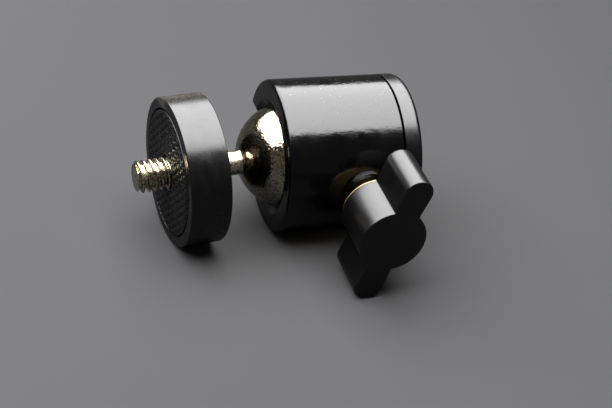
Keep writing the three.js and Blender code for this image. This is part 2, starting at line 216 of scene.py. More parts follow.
@dataclass(frozen=True)
class Relief:
    """Fine relief of a surface: a noise whose size and depth are in millimetres."""

    size: float
    depth: float
    detail: float
    strength: float = 1.0

    def wire(
        self, tree: Tree, place: Socket, under: Socket | None = None, dimensions: str = "3D",
    ) -> tuple[Socket, Socket]:
        """Wires the noise to a bump.

        Args:
            tree: Node tree of the material.
            place: Coordinates in metres.
            under: Normal of a coarser relief that this one lies on.
            dimensions: "3D", or "2D" where only X and Y of the coordinates count.

        Returns:
            Height from zero to one, where one stands for the depth, and the bumped normal.
        """
        noise = add_node(tree, "ShaderNodeTexNoise", {"noise_dimensions": dimensions}, {
            "Vector": place,
            "Scale": 1 / (self.size * MM),
            "Detail": self.detail,
        })
        height = noise.outputs["Fac"]
        inputs = {"Height": height, "Distance": self.depth * MM, "Strength": self.strength}
        if under is not None:
            inputs["Normal"] = under
        return height, add_node(tree, "ShaderNodeBump", {}, inputs).outputs["Normal"]


@dataclass(frozen=True)
class Finish:
    """A plain ground or moulded finish, which carries the name of its material slot: soft mottling of the
    gloss and a fine grain.
    """

    name: str
    slot: str
    color: str
    metallic: float
    roughness: float
    ior: float = 1.5
    wear: Wear = Wear(size=1.6, detail=4.0, low=0.0, high=1.0, least=0.8, most=1.25)
    grain: Relief = Relief(size=0.12, depth=0.006, detail=2.0, strength=0.6)

    def material(self, axes: Axes) -> bpy.types.Material:
        """Builds the material.

        Args:
            axes: Axes that a turned or laid pattern follows.

        Returns:
            A new material with its nodes wired.
        """
        made = bpy.data.materials.new(self.name)
        made.use_nodes = True
        tree = made.node_tree
        tree.nodes.clear()
        shader = add_node(tree, "ShaderNodeBsdfPrincipled", {}, {
            "Base Color": linear(self.color),
            "Metallic": self.metallic,
            "Roughness": self.roughness,
            "IOR": self.ior,
        })
        add_node(tree, "ShaderNodeOutputMaterial", {}, {"Surface": shader.outputs["BSDF"]})
        place = add_node(tree, "ShaderNodeTexCoord", {}, {}).outputs["Object"]
        rotation, shift = axes.to_local
        local = add_node(tree, "ShaderNodeMapping", {"vector_type": "POINT"}, {
            "Vector": place,
            "Location": shift,
            "Rotation": rotation.to_euler("XYZ"),
        })
        self.wear.wire(tree, shader, local.outputs["Vector"], self.roughness)
        self.wire(tree, shader, local.outputs["Vector"])
        return made

    def wire(self, tree: Tree, shader: Node, place: Socket) -> None:
        """Wires the pattern that belongs to the finish, here its grain.

        Args:
            tree: Node tree of the material.
            shader: Its principled shader.
            place: Coordinates on the piece's own axes, in metres.
        """
        _, normal = self.grain.wire(tree, place)
        tree.links.new(normal, shader.inputs["Normal"])


@dataclass(frozen=True)
class GlossEnamel(Finish):
    """Stoved gloss enamel on a die casting: it flows into a slight orange peel, with dust on its upper side.

    Distances are in millimetres on the piece's axes. The dust lies from one height up and is full at another.
    """

    wear: Wear = Wear(size=5.0, detail=6.0, low=0.35, high=0.7, least=0.7, most=1.5)
    peel: Relief = Relief(size=1.3, depth=0.03, detail=1.5)
    ripple: Relief = Relief(size=0.35, depth=0.018, detail=2.0)
    dust_gap: float = 1.1
    dust_from: float = 12.5
    dust_full: float = 15.2
    speck_core: float = 0.06
    speck_edge: float = 0.19
    dust_color: str = "#7c7668"

    def wire(self, tree: Tree, shader: Node, place: Socket) -> None:
        """Wires orange peel, a fine ripple on it and dust specks.

        Args:
            tree: Node tree of the material.
            shader: Its principled shader.
            place: Coordinates on the piece's own axes, in metres.
        """
        upwards = add_node(tree, "ShaderNodeSeparateXYZ", {}, {"Vector": place}).outputs["X"]
        settled = add_node(tree, "ShaderNodeMapRange", {}, {
            "Value": upwards,
            "From Min": self.dust_from * MM,
            "From Max": self.dust_full * MM,
        })
        cells = add_node(tree, "ShaderNodeTexVoronoi", {}, {
            "Vector": place,
            "Scale": 1 / (self.dust_gap * MM),
        })
        speck = add_node(tree, "ShaderNodeMapRange", {}, {
            "Value": cells.outputs["Distance"],
            "From Min": self.speck_core,
            "From Max": self.speck_edge,
            "To Min": settled.outputs["Result"],
            "To Max": 0.0,
        })
        color = add_node(tree, "ShaderNodeMix", {"data_type": "RGBA"}, {
            "Factor": speck.outputs["Result"],
            "A": linear(self.color),
            "B": linear(self.dust_color),
        })
        tree.links.new(color.outputs["Result"], shader.inputs["Base Color"])
        _, broad = self.peel.wire(tree, place)
        _, fine = self.ripple.wire(tree, place, broad)
        tree.links.new(fine, shader.inputs["Normal"])


@dataclass(frozen=True)
class TurnedSatin(Finish):
    """Turned and blasted metal with a soft sheen: faint lathe lines run round the piece's axis."""

    wear: Wear = Wear(size=2.2, detail=5.0, low=0.3, high=0.7, least=0.85, most=1.2)
    lines: Relief = Relief(size=0.16, depth=0.0012, detail=3.0)
    blast: Relief = Relief(size=0.1, depth=0.0015, detail=1.0)

    def wire(self, tree: Tree, shader: Node, place: Socket) -> None:
        """Wires lathe lines, which depend only on the distance from Y and the height, and a blasted grain.

        Args:
            tree: Node tree of the material.
            shader: Its principled shader.
            place: Coordinates on the piece's own axes, in metres.
        """
        parts = add_node(tree, "ShaderNodeSeparateXYZ", {}, {"Vector": place})
        flat = add_node(tree, "ShaderNodeCombineXYZ", {}, {"X": parts.outputs["X"], "Z": parts.outputs["Z"]})
        radius = add_node(tree, "ShaderNodeVectorMath", {"operation": "LENGTH"}, {0: flat.outputs["Vector"]})
        section = add_node(tree, "ShaderNodeCombineXYZ", {}, {
            "X": radius.outputs["Value"],
            "Y": parts.outputs["Y"],
        })
        _, turned = self.lines.wire(tree, section.outputs["Vector"], dimensions="2D")
        _, blasted = self.blast.wire(tree, place, turned)
        tree.links.new(blasted, shader.inputs["Normal"])


@dataclass(frozen=True)
class DustAndSheenSatin(TurnedSatin):
    """Turned satin aluminium with greyish patches along the back of its upper side: partly dust, and partly a
    painted sheen where grazing light would brighten that edge.

    Distances are in millimetres, upwards on X and towards the back on minus Z.
    """

    dust_and_sheen_size: float = 0.4
    dust_and_sheen_detail: float = 3.0
    up_from: float = 11.0
    up_full: float = 12.6
    back_from: float = 2.2
    back_full: float = 5.0
    patch_low: float = 0.3
    patch_high: float = 0.7
    # Colour of the dust and of the painted sheen on the top edge.
    dust_color: str = "#8c8578"

    def wire(self, tree: Tree, shader: Node, place: Socket) -> None:
        """Wires the turned surface, and then the dust and painted sheen over its colour.

        Args:
            tree: Node tree of the material.
            shader: Its principled shader.
            place: Coordinates on the piece's own axes, in metres.
        """
        super().wire(tree, shader, place)
        # Dust and painted sheen: greyish patches are mixed into the colour along the back of the top edge.
        parts = add_node(tree, "ShaderNodeSeparateXYZ", {}, {"Vector": place})
        settled = add_node(tree, "ShaderNodeMapRange", {}, {
            "Value": parts.outputs["X"],
            "From Min": self.up_from * MM,
            "From Max": self.up_full * MM,
        })
        behind = add_node(tree, "ShaderNodeMapRange", {}, {
            "Value": parts.outputs["Z"],
            "From Min": -self.back_from * MM,
            "From Max": -self.back_full * MM,
            "To Max": settled.outputs["Result"],
        })
        patches = add_node(tree, "ShaderNodeTexNoise", {}, {
            "Vector": place,
            "Scale": 1 / (self.dust_and_sheen_size * MM),
            "Detail": self.dust_and_sheen_detail,
        })
        dust_and_sheen_cover = add_node(tree, "ShaderNodeMapRange", {}, {
            "Value": patches.outputs["Fac"],
            "From Min": self.patch_low,
            "From Max": self.patch_high,
            "To Max": behind.outputs["Result"],
        })
        color = add_node(tree, "ShaderNodeMix", {"data_type": "RGBA"}, {
            "Factor": dust_and_sheen_cover.outputs["Result"],
            "A": linear(self.color),
            "B": linear(self.dust_color),
        })
        tree.links.new(color.outputs["Result"], shader.inputs["Base Color"])


@dataclass(frozen=True)
class PolishedPlate(Finish):
    """Nickel plate, a little warm: pits of an old bath and rub marks break up what it mirrors.

    The real pits are about 0.05 mm across. They are drawn at 0.45 mm, so that they show as the grain that
    they give. The noise is a pit below one level and clean above another.
    """

    wear: Wear = Wear(size=2.5, detail=6.0, low=0.4, high=0.7, least=0.6, most=1.9)
    pits: Relief = Relief(size=0.45, depth=0.052, detail=1.5)
    pit_level: float = 0.36
    clean_level: float = 0.5
    pit_color: str = "#6c6456"

    def wire(self, tree: Tree, shader: Node, place: Socket) -> None:
        """Wires the pits, as a relief and as darker spots.

        Args:
            tree: Node tree of the material.
            shader: Its principled shader.
            place: Coordinates on the piece's own axes, in metres.
        """
        height, normal = self.pits.wire(tree, place)
        tree.links.new(normal, shader.inputs["Normal"])
        clean = add_node(tree, "ShaderNodeMapRange", {}, {
            "Value": height,
            "From Min": self.pit_level,
            "From Max": self.clean_level,
        })
        color = add_node(tree, "ShaderNodeMix", {"data_type": "RGBA"}, {
            "Factor": clean.outputs["Result"],
            "A": linear(self.pit_color),
            "B": linear(self.color),
        })
        tree.links.new(color.outputs["Result"], shader.inputs["Base Color"])


class Look(Enum):
    """The finishes of the ball head, each with what it gives the eye."""

    # A deep black that mirrors the lamp in one long, slightly wavy band with a few specks of dust on top.
    ENAMEL = GlossEnamel("gloss_black_enamel", "gloss_paint", "#040404", 0.0, 0.13, 1.47)
    # A softer black than the enamel, on which the same band has a blurred edge.
    SATIN = TurnedSatin("satin_black_anodised_aluminium", "satin_black", "#080809", 0.0, 0.26, 1.51)
    # The same satin with a greyish haze at the back of its top edge: dust and a painted sheen.
    DUST_AND_SHEEN = DustAndSheenSatin("dusty_satin_black_aluminium", "satin_black", "#080809", 0.0, 0.26, 1.51)
    # Dark ribs with small glints where they face the lamp.
    RUBBER = Finish("moulded_black_rubber", "pad_rubber", "#08080a", 0.0, 0.32, 1.5)
    # A warm mirror with a grainy edge to each reflection.
    NICKEL = PolishedPlate("polished_nickel_plate", "nickel_plate", "#c4b9a3", 1.0, 0.06)
    # The same plate, paler and blurred by the rolled flanks, so that the thread glints crest by crest.
    STUD = PolishedPlate("rolled_nickel_plate", "nickel_plate", "#d6cbb4", 1.0, 0.2,
                         pits=Relief(size=0.45, depth=0.003, detail=1.5))
    # Plain grey steel with a soft, even shine.
    SPRING = Finish("ground_spring_steel", "spring_steel", "#b4b2ad", 1.0, 0.3)
    # A dull yellow that shows as a thin golden line behind the hub.
    BRASS = TurnedSatin("turned_brass", "brass", "#b49c6a", 1.0, 0.45,
                        lines=Relief(size=0.16, depth=0.0004, detail=3.0))
    # A brown black that keeps the mouth of the boss dark.
    BLACKENED = Finish("blackened_brass", "brass", "#1c1814", 1.0, 0.38)
    # A waxy black without sparkle.
    ACETAL = Finish("moulded_black_acetal", "acetal", "#101010", 0.0, 0.38, 1.48)
    # A dull, slightly blue grey.
    ZINC = Finish("die_cast_zinc", "cast_zinc", "#8d8e90", 1.0, 0.45)
    # A satin black with a broad, soft highlight along each rounded side.
    NYLON = Finish("moulded_black_nylon", "knob_plastic", "#070708", 0.0, 0.3, 1.52)


def rounded(corners: list[tuple[float, float, float]], steps: int = 5) -> np.ndarray:
    """Rounds the corners of a closed section.

    Each corner becomes the quadratic curve that leaves one edge and joins the next at a given distance from
    the corner, with the corner as its middle control point.

    Args:
        corners: Radius, height and rounding distance of each corner, in order.
        steps: Steps along each curve.

    Returns:
        Points of the section as rows of radius and height.
    """
    data = np.array(corners, float)
    corner = data[:, :2]
    reach = data[:, 2:]
    before = corner + unit(np.roll(corner, 1, axis=0) - corner) * reach
    after = corner + unit(np.roll(corner, -1, axis=0) - corner) * reach
    t = np.linspace(0, 1, steps + 1)[None, :, None]
    return bend(t, before[:, None], corner[:, None], after[:, None]).reshape(-1, 2)


def revolve(section: np.ndarray, sides: int) -> np.ndarray:
    """Carries a section round Y: each row of radius and height gives one row of points."""
    return around(section[:, :1], full_circle(sides), section[:, 1:2])


@dataclass(frozen=True)
class Thread:
    """Right-handed screw thread whose crests and roots are rounded. Sizes are in millimetres.

    The root and the flank are shares of half a pitch, and a hole's thread has its levels raised to a power.
    """

    crest: float
    pitch: float
    depth: float
    root_from: float = 0.9
    flank: float = 0.78
    hole_power: float = 0.8

    def radius(self, angle: np.ndarray, height: np.ndarray, inward: bool = False) -> np.ndarray:
        """Works out the radius of the thread.

        The phase is height over pitch plus angle over a full turn, and its distance from the crest runs from
        zero to one. A smooth step of that distance goes from the crest to the root.

        Args:
            angle: Angle round the axis, which turns X towards Z.
            height: Height along the axis.
            inward: True for the thread of a hole, whose crest is its widest part.

        Returns:
            Radius at each angle and height.
        """
        phase = np.mod(height / self.pitch + angle / (2 * np.pi), 1.0)
        apart = np.abs(phase - 0.5) * 2
        level = np.clip((self.root_from - apart) / self.flank, 0, 1)
        level = level * level * (3 - 2 * level)
        if inward:
            level = level**self.hole_power
        return self.crest - self.depth * (1 - level)


CAMERA_THREAD = Thread(crest=3.125, pitch=1.27, depth=0.74)
TRIPOD_THREAD = Thread(crest=3.2, pitch=1.27, depth=0.66)
CLAMP_THREAD = Thread(crest=3.0, pitch=1.0, depth=0.58)


class Shell:
    """Gathers grids of points on one set of axes and makes one mesh piece of them."""

    def __init__(self, axes: Axes) -> None:
        """Starts an empty shell.

        Args:
            axes: Axes that its points lie on.
        """
        self.axes = axes
        self.points: list[np.ndarray] = []
        self.faces: list[np.ndarray] = []
        self.count = 0

    def add(self, grid: np.ndarray, wrap_rows: bool = True, wrap_columns: bool = True) -> "Shell":
        """Adds a grid as four-sided faces between neighbouring rows and columns.

        Args:
            grid: Points in millimetres, rows by columns by three.
            wrap_rows: Joins the last row to the first.
            wrap_columns: Joins the last column to the first.

        Returns:
            This shell.
        """
        rows, columns = grid.shape[:2]
        index = np.arange(rows * columns).reshape(rows, columns) + self.count
        if wrap_rows:
            index = np.vstack([index, index[:1]])
        if wrap_columns:
            index = np.hstack([index, index[:, :1]])
        self.points.append(grid.reshape(-1, 3))
        self.faces.append(quads(index))
        self.count += rows * columns
        return self

    def piece(self, name: str, look: Look, body: str, node: str, sharp: float = 32.0) -> bpy.types.Object:
        """Makes the piece, welds its seams and poles, and turns its faces outwards.

        Args:
            name: Name of the piece.
            look: Its finish.
            body: CAD body that it rides on.
            node: CAD node that it stands for.
            sharp: Angle in degrees above which an edge stays sharp.

        Returns:
            The new object.
        """
        mesh = bpy.data.meshes.new(name)
        points = self.axes.place(np.concatenate(self.points))
        mesh.from_pydata(points.tolist(), [], np.concatenate(self.faces).tolist())
        shape = bmesh.new()
        shape.from_mesh(mesh)
        bmesh.ops.remove_doubles(shape, verts=shape.verts, dist=MERGE_MM * MM)
        bmesh.ops.recalc_face_normals(shape, faces=shape.faces)
        shape.to_mesh(mesh)
        shape.free()
        mesh.shade_smooth()
        mesh.set_sharp_from_angle(angle=math.radians(sharp))
        mesh.materials.append(look.value.material(self.axes))
        made = bpy.data.objects.new(name, mesh)
        bpy.context.scene.collection.objects.link(made)
        even = made.modifiers.new("even_shading", "WEIGHTED_NORMAL")
        even.keep_sharp = True
        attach(made, body)
        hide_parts(node)
        log.info("%s: %d points, %d faces, rides on %s", name, len(mesh.vertices), len(mesh.polygons), body)
        return made


@dataclass
class Barrel:
    """Die-cast barrel with its lip, its drop notch and the boss of the clamp. Sizes are in millimetres.

    The reaches say how far the rows of the outside wall leave each part of the rim squarely.
    """

    radius: float = 15.25
    bore: float = 11.8
    front: float = 4.3
    back: float = -19.0
    lip_back: float = 3.1
    lip_step: float = 0.05
    lip_radius: float = 10.45
    mouth_radius: float = 11.5
    counterbore: float = 12.9
    counterbore_top: float = -16.2
    notch_half: float = 3.6
    notch_flare: float = 1.1
    notch_heights: tuple[float, ...] = (0.0, 0.8, 1.6, 2.4)
    edge_round: float = 1.1
    notch_round: float = 0.4
    inner_round: float = 0.18
    seam_round: float = 0.2
    arch_reach: float = 3.0
    wall_reach: float = 1.4
    flare_reach: float = 0.7
    mouth_reach: float = 1.0
    seam_power: float = 0.93
    clamp_back: float = 11.55355
    boss_radius: float = 5.2
    boss_top: float = 15.55
    boss_round: float = 0.05
    boss_draw: float = 0.16
    boss_sunk: float = 0.2
    boss_floor: float = 13.0
    boss_hole: float = 4.3
    hole_round: float = 0.15
    hole_floor: float = 13.4
    arch_steps: int = 20
    flare_steps: int = 12
    ring_columns: int = 170
    surface_rows: int = 70
    bore_rows: int = 12
    boss_columns: int = 128

    def half_rim(self) -> dict[str, np.ndarray]:
        """Follows the rim from the middle of the notch to the far side of the mouth.

        The notch outline in chord x and height y is a half circle, a straight wall and a flare arc, and the
        rest is the mouth. Angles on a radius r are asin(x / r), measured from the notch.

        Returns:
            Angle, height, direction into the wall and rounding on the outside, then angle and radius of the
            inner edge, of the lip's inner edge and of the lip's back corner.
        """
        half, flare = self.notch_half, self.notch_flare
        low = np.linspace(0, np.pi / 2, self.arch_steps)[:-1]
        wall = np.array([*self.notch_heights, self.lip_back - self.lip_step, self.lip_back])
        turn = np.linspace(0, np.pi / 2, self.flare_steps)[:-1]
        x = np.concatenate([half * np.sin(low), half + 0 * wall, half + flare - flare * np.cos(turn)])
        y = np.concatenate([-half * np.cos(low), wall, self.front - flare + flare * np.sin(turn)])
        into_x = np.concatenate([np.sin(low), 1 + 0 * wall, np.cos(turn)])
        into_y = np.concatenate([-np.cos(low), 0 * wall, -np.sin(turn)])
        cone = (self.mouth_radius - self.lip_radius) / (self.front - self.lip_back)
        lip = y >= self.lip_back - TINY
        inner_radius = np.where(lip, self.lip_radius + (y - self.lip_back) * cone, self.bore)
        inner = np.arcsin(x / inner_radius)
        rise = np.clip((y - self.lip_back) / (self.front - self.lip_back), 0, 1)
        edge = half + flare

        def along_lip(radius: float) -> np.ndarray:
            """Returns the angles of the notch on a radius, spread evenly over the lip's height."""
            first, last = math.asin(half / radius), math.asin(edge / radius)
            return np.where(lip, first + (last - first) * rise, inner)

        def ring(radius: float) -> np.ndarray:
            """Returns the angles of the mouth on a radius, from the notch to the far side."""
            return np.linspace(math.asin(edge / radius), math.pi, self.ring_columns)

        none = np.zeros(self.ring_columns)
        ease = np.concatenate([0 * low, 0 * wall, np.sin(turn), none + 1])
        reach = np.concatenate([
            self.arch_reach + 0 * low,
            self.wall_reach + 0 * wall,
            self.flare_reach + 0 * turn,
            self.mouth_reach + none,
        ])
        return {
            "outer": np.concatenate([np.arcsin(x / self.radius), ring(self.radius)]),
            "height": np.concatenate([y, self.front + none]),
            "into_x": np.concatenate([into_x, none]),
            "into_y": np.concatenate([into_y, none - 1]),
            "reach": reach,
            "round": self.notch_round + (self.edge_round - self.notch_round) * ease,
            "inner": np.concatenate([inner, ring(self.mouth_radius)]),
            "inner_radius": np.concatenate([inner_radius, self.mouth_radius + none]),
            "lip": np.concatenate([along_lip(self.lip_radius), ring(self.lip_radius)]),
            "corner": np.concatenate([along_lip(self.bore), ring(self.bore)]),
            "is_lip": np.concatenate([lip, none == 0]),
        }

    def rim(self) -> dict[str, np.ndarray]:
        """Completes the rim with its mirror image, where angles and sideways directions change sign.

        The angle at the seam grows with the way along the rim, raised to the seam power.

        Returns:
            The values of the half rim for the whole rim, and the angle at the seam as "base".
        """
        flips = {"outer", "inner", "lip", "corner", "into_x"}
        half = self.half_rim()
        whole = {}
        for key, values in half.items():
            mirrored = -values[-2:0:-1] if key in flips else values[-2:0:-1]
            whole[key] = np.concatenate([values, mirrored])
        length = np.hypot(np.diff(half["outer"]) * self.radius, np.diff(half["height"]))
        run = np.concatenate([[0], np.cumsum(length)])
        spread = np.pi * (run / run[-1]) ** self.seam_power
        whole["base"] = np.concatenate([spread, -spread[-2:0:-1]])
        return whole

    @staticmethod
    def on_cylinder(angle: np.ndarray, radius: np.ndarray | float, height: np.ndarray | float) -> np.ndarray:
        """Returns points at an angle from the notch: x is r sin a, y is the height and z is minus r cos a."""
        return np.stack([radius * np.sin(angle), height + 0 * angle, -radius * np.cos(angle)], axis=-1)

    def body(self) -> np.ndarray:
        """Sweeps the wall's section round the rim.

        Every column starts at the seam, climbs the outside on a quadratic curve that meets the rim squarely,
        turns over the rounded edge, crosses the wall and goes down the lip and the bore to the counterbore.

        Returns:
            Closed grid of points.
        """
        rim = self.rim()
        foot = self.back + self.seam_round
        start_angle = rim["outer"] + rim["into_x"] * rim["round"] / self.radius
        start_height = rim["height"] + rim["into_y"] * rim["round"]
        bend_angle = start_angle + rim["into_x"] * rim["reach"] / self.radius
        bend_height = start_height + rim["into_y"] * rim["reach"]
        t = np.linspace(1, 0, self.surface_rows + 1)[:, None]
        angle = bend(t, start_angle, bend_angle, rim["base"])
        height = bend(t, start_height, bend_height, foot)
        outside = self.on_cylinder(angle, self.radius, height)

        corner = self.on_cylinder(rim["outer"], self.radius, rim["height"])
        inner = self.on_cylinder(rim["inner"], rim["inner_radius"], rim["height"])
        across = unit(inner - corner)
        back_height = np.where(rim["is_lip"], self.lip_back, rim["height"])
        lip_radius = np.where(rim["is_lip"], self.lip_radius, self.bore)
        lip = self.on_cylinder(rim["lip"], lip_radius, back_height)
        back = self.on_cylinder(rim["corner"], self.bore, back_height)
        down_lip = np.linalg.norm(lip - inner, axis=-1, keepdims=True)
        ease = np.minimum(self.inner_round, down_lip / 3)
        edge = bend_rows(outside[-1], corner, corner + across * rim["round"][:, None], steps=8)
        wall = straight_rows(edge[-1], inner - across * ease, steps=4)[1:]
        turn = bend_rows(wall[-1], inner, inner + unit(lip - inner) * ease, steps=4)[1:]
        cone = straight_rows(turn[-1], lip, steps=2)[1:]
        s = np.linspace(0, 1, self.bore_rows + 1)[1:, None]
        bore_angle = rim["corner"] + (rim["base"] - rim["corner"]) * s
        bore = self.on_cylinder(bore_angle, self.bore, back_height + (self.counterbore_top - back_height) * s)
        tail = np.stack([
            self.on_cylinder(rim["base"], self.bore, self.counterbore_top),
            self.on_cylinder(rim["base"], self.counterbore, self.counterbore_top),
            self.on_cylinder(rim["base"], self.counterbore, self.back),
            self.on_cylinder(rim["base"], self.radius - self.seam_round, self.back),
        ])
        return np.concatenate([outside, edge[1:], wall, turn, cone, back[None], bore[:-1], tail])

    def boss(self) -> np.ndarray:
        """Raises the boss from the barrel's side.

        The barrel lies where z is the root of its radius squared less x squared. From just under there the
        boss wall, which is drawn in by a share of its depth so that it shows no second band of light, goes
        up to a rounded edge, and a flat ring and the hole follow.

        Returns:
            Closed grid of points on the housing's axes.
        """
        angle = full_circle(self.boss_columns)

        def row(radius: np.ndarray | float, height: np.ndarray | float) -> np.ndarray:
            """Returns a ring of points round the clamp's axis."""
            along = radius * np.sin(angle) - self.clamp_back
            return np.stack([radius * np.cos(angle), along, height + 0 * angle], axis=-1)

        foot = np.sqrt(self.radius**2 - (self.boss_radius * np.cos(angle)) ** 2) - self.boss_sunk
        flank = row(self.boss_radius - self.boss_draw * (self.boss_top - foot), foot)[None]
        edge = row(self.boss_radius, self.boss_top)
        shoulder = row(self.boss_radius, self.boss_top - self.boss_round)
        top = bend_rows(shoulder, edge, row(self.boss_radius - self.boss_round, self.boss_top), steps=6)
        mouth = row(self.boss_hole, self.boss_top)
        ring = row(self.boss_hole + self.hole_round, self.boss_top)
        inner = bend_rows(ring, mouth, row(self.boss_hole, self.boss_top - self.hole_round), steps=3)
        buried = np.stack([row(self.boss_hole, self.hole_floor), row(self.boss_radius, self.boss_floor)])
        return np.concatenate([flank, top, inner, buried])

    def build(self) -> None:
        """Makes the barrel in one piece with its boss."""
        shell = Shell(HOUSING).add(self.body()).add(self.boss())
        shell.piece("barrel", Look.ENAMEL, "housing", "barrel_housing")


@dataclass
class BaseCap:
    """Screwed-in cap of the tripod end and the brass bush in it. Sizes are in millimetres."""

    radius: float = 15.25
    top: float = -19.3
    face: float = -22.9
    face_round: float = 1.15
    seam_round: float = 0.2
    spigot_radius: float = 12.65
    spigot_top: float = -16.3
    spigot_round: float = 0.2
    bush_hole: float = 4.8
    mouth_round: float = 0.15
    back_round: float = 0.1
    hole_radius: float = 1.1
    hole_depth: float = 1.6
    hole_cone: float = 0.45
    hole_edge: float = 0.12
    circle_radius: float = 10.025
    bush_radius: float = 4.7
    bush_back: float = -22.7
    bush_round: float = 0.12
    flange_radius: float = 5.6
    flange_bottom: float = -16.2
    flange_top: float = -15.6
    flange_round: float = 0.08
    lead_width: float = 0.2
    lead_slope: float = 0.9
    row_step: float = 0.07
    sides: int = 192
    bush_sides: int = 96
    sector: int = 16
    face_rows: int = 12

    def side(self) -> np.ndarray:
        """Carries round all but the flat face: hole, spigot, flange and rounded edge, from rim to hole."""
        outline = rounded([
            (self.bush_hole, self.face, self.mouth_round),
            (self.bush_hole, self.spigot_top, self.back_round),
            (self.spigot_radius, self.spigot_top, self.spigot_round),
            (self.spigot_radius, self.top, 0),
            (self.radius, self.top, self.seam_round),
            (self.radius, self.face, self.face_round),
        ], steps=6)
        return revolve(outline, self.sides)

    def face_radii(self) -> np.ndarray:
        """Returns the radii of the flat face's rows, from its rim to the bush."""
        rim, hole = self.radius - self.face_round, self.bush_hole + self.mouth_round
        return np.linspace(rim, hole, self.face_rows + 1)

    def plain_face(self, middle: int) -> np.ndarray:
        """Lays out the face between the spanner holes as a polar grid.

        Args:
            middle: Column of the spanner hole that it starts beside.

        Returns:
            Grid whose rows and columns don't wrap.
        """
        columns = np.arange(middle + self.sector, middle + self.sides // 2 - self.sector + 1)
        return around(self.face_radii()[:, None], columns * (2 * np.pi / self.sides), self.face)

    def hole_face(self, middle: int) -> np.ndarray:
        """Lays out the face round a spanner hole.

        Straight lines run from the edge of a sector of the ring to the edge of the hole, which goes down to a
        drilled cone. Flat points are the radius times the cosine and the sine of the angle.

        Args:
            middle: Column of the middle of the hole.

        Returns:
            Grid whose columns wrap and whose rows don't.
        """
        radii = self.face_radii()
        step = 2 * np.pi / self.sides
        near = np.arange(middle - self.sector, middle + self.sector + 1) * step
        loop = np.concatenate([
            np.stack([radii[0] + 0 * near, near], axis=-1),
            np.stack([radii[1:-1], near[-1] + 0 * radii[1:-1]], axis=-1),
            np.stack([radii[-1] + 0 * near, near[::-1]], axis=-1),
            np.stack([radii[-2:0:-1], near[0] + 0 * radii[1:-1]], axis=-1),
        ])
        edge = np.stack([loop[:, 0] * np.cos(loop[:, 1]), loop[:, 0] * np.sin(loop[:, 1])], axis=-1)
        centre = self.circle_radius * np.array([math.cos(middle * step), math.sin(middle * step)])
        ray = unit(edge - centre)

        def ring(radius: float, depth: float) -> np.ndarray:
            """Returns a ring of the hole, with a point for each point of the edge."""
            flat = centre + ray * radius
            return np.stack([flat[:, 0], self.face + depth + 0 * flat[:, 0], flat[:, 1]], axis=-1)

        rim = ring(self.hole_radius + self.hole_edge, 0)
        border = np.stack([edge[:, 0], self.face + 0 * edge[:, 0], edge[:, 1]], axis=-1)
        spread = straight_rows(border, rim, steps=7)
        wall = ring(self.hole_radius, self.hole_edge)
        lead = bend_rows(rim, ring(self.hole_radius, 0), wall, steps=3)[1:]
        floor = np.stack([ring(self.hole_radius, self.hole_depth), ring(0, self.hole_depth + self.hole_cone)])
        return np.concatenate([spread, lead, floor])

    def bush(self) -> np.ndarray:
        """Carries the brass bush round, with the tripod thread cut in its bore.

        The bore is the radius of the thread, but no less than a lead cone at either end and no more than the
        width of the lead.

        Returns:
            Closed grid of points.
        """
        angle = full_circle(self.bush_sides)
        height = np.arange(self.bush_back, self.flange_top, self.row_step)[:, None]
        from_end = np.minimum(height - self.bush_back, self.flange_top - height)
        widest = TRIPOD_THREAD.crest + self.lead_width
        bore = TRIPOD_THREAD.radius(angle, height, inward=True)
        bore = np.minimum(np.maximum(bore, widest - from_end * self.lead_slope), widest)
        outside = rounded([
            (self.flange_radius, self.flange_top, self.flange_round),
            (self.flange_radius, self.flange_bottom, self.flange_round),
            (self.bush_radius, self.flange_bottom, 0),
            (self.bush_radius, self.bush_back, self.bush_round),
        ])
        return np.concatenate([around(bore, angle, height), revolve(outside, self.bush_sides)])

    def build(self) -> None:
        """Makes the cap and the bush."""
        cap = Shell(HOUSING).add(self.side(), wrap_rows=False)
        for middle in (0, self.sides // 2):
            cap.add(self.plain_face(middle), wrap_rows=False, wrap_columns=False)
            cap.add(self.hole_face(middle), wrap_rows=False)
        cap.piece("end_cap", Look.SATIN, "housing", "base_cap")
        Shell(HOUSING).add(self.bush()).piece("tripod_bush", Look.BRASS, "housing", "base_thread_insert")


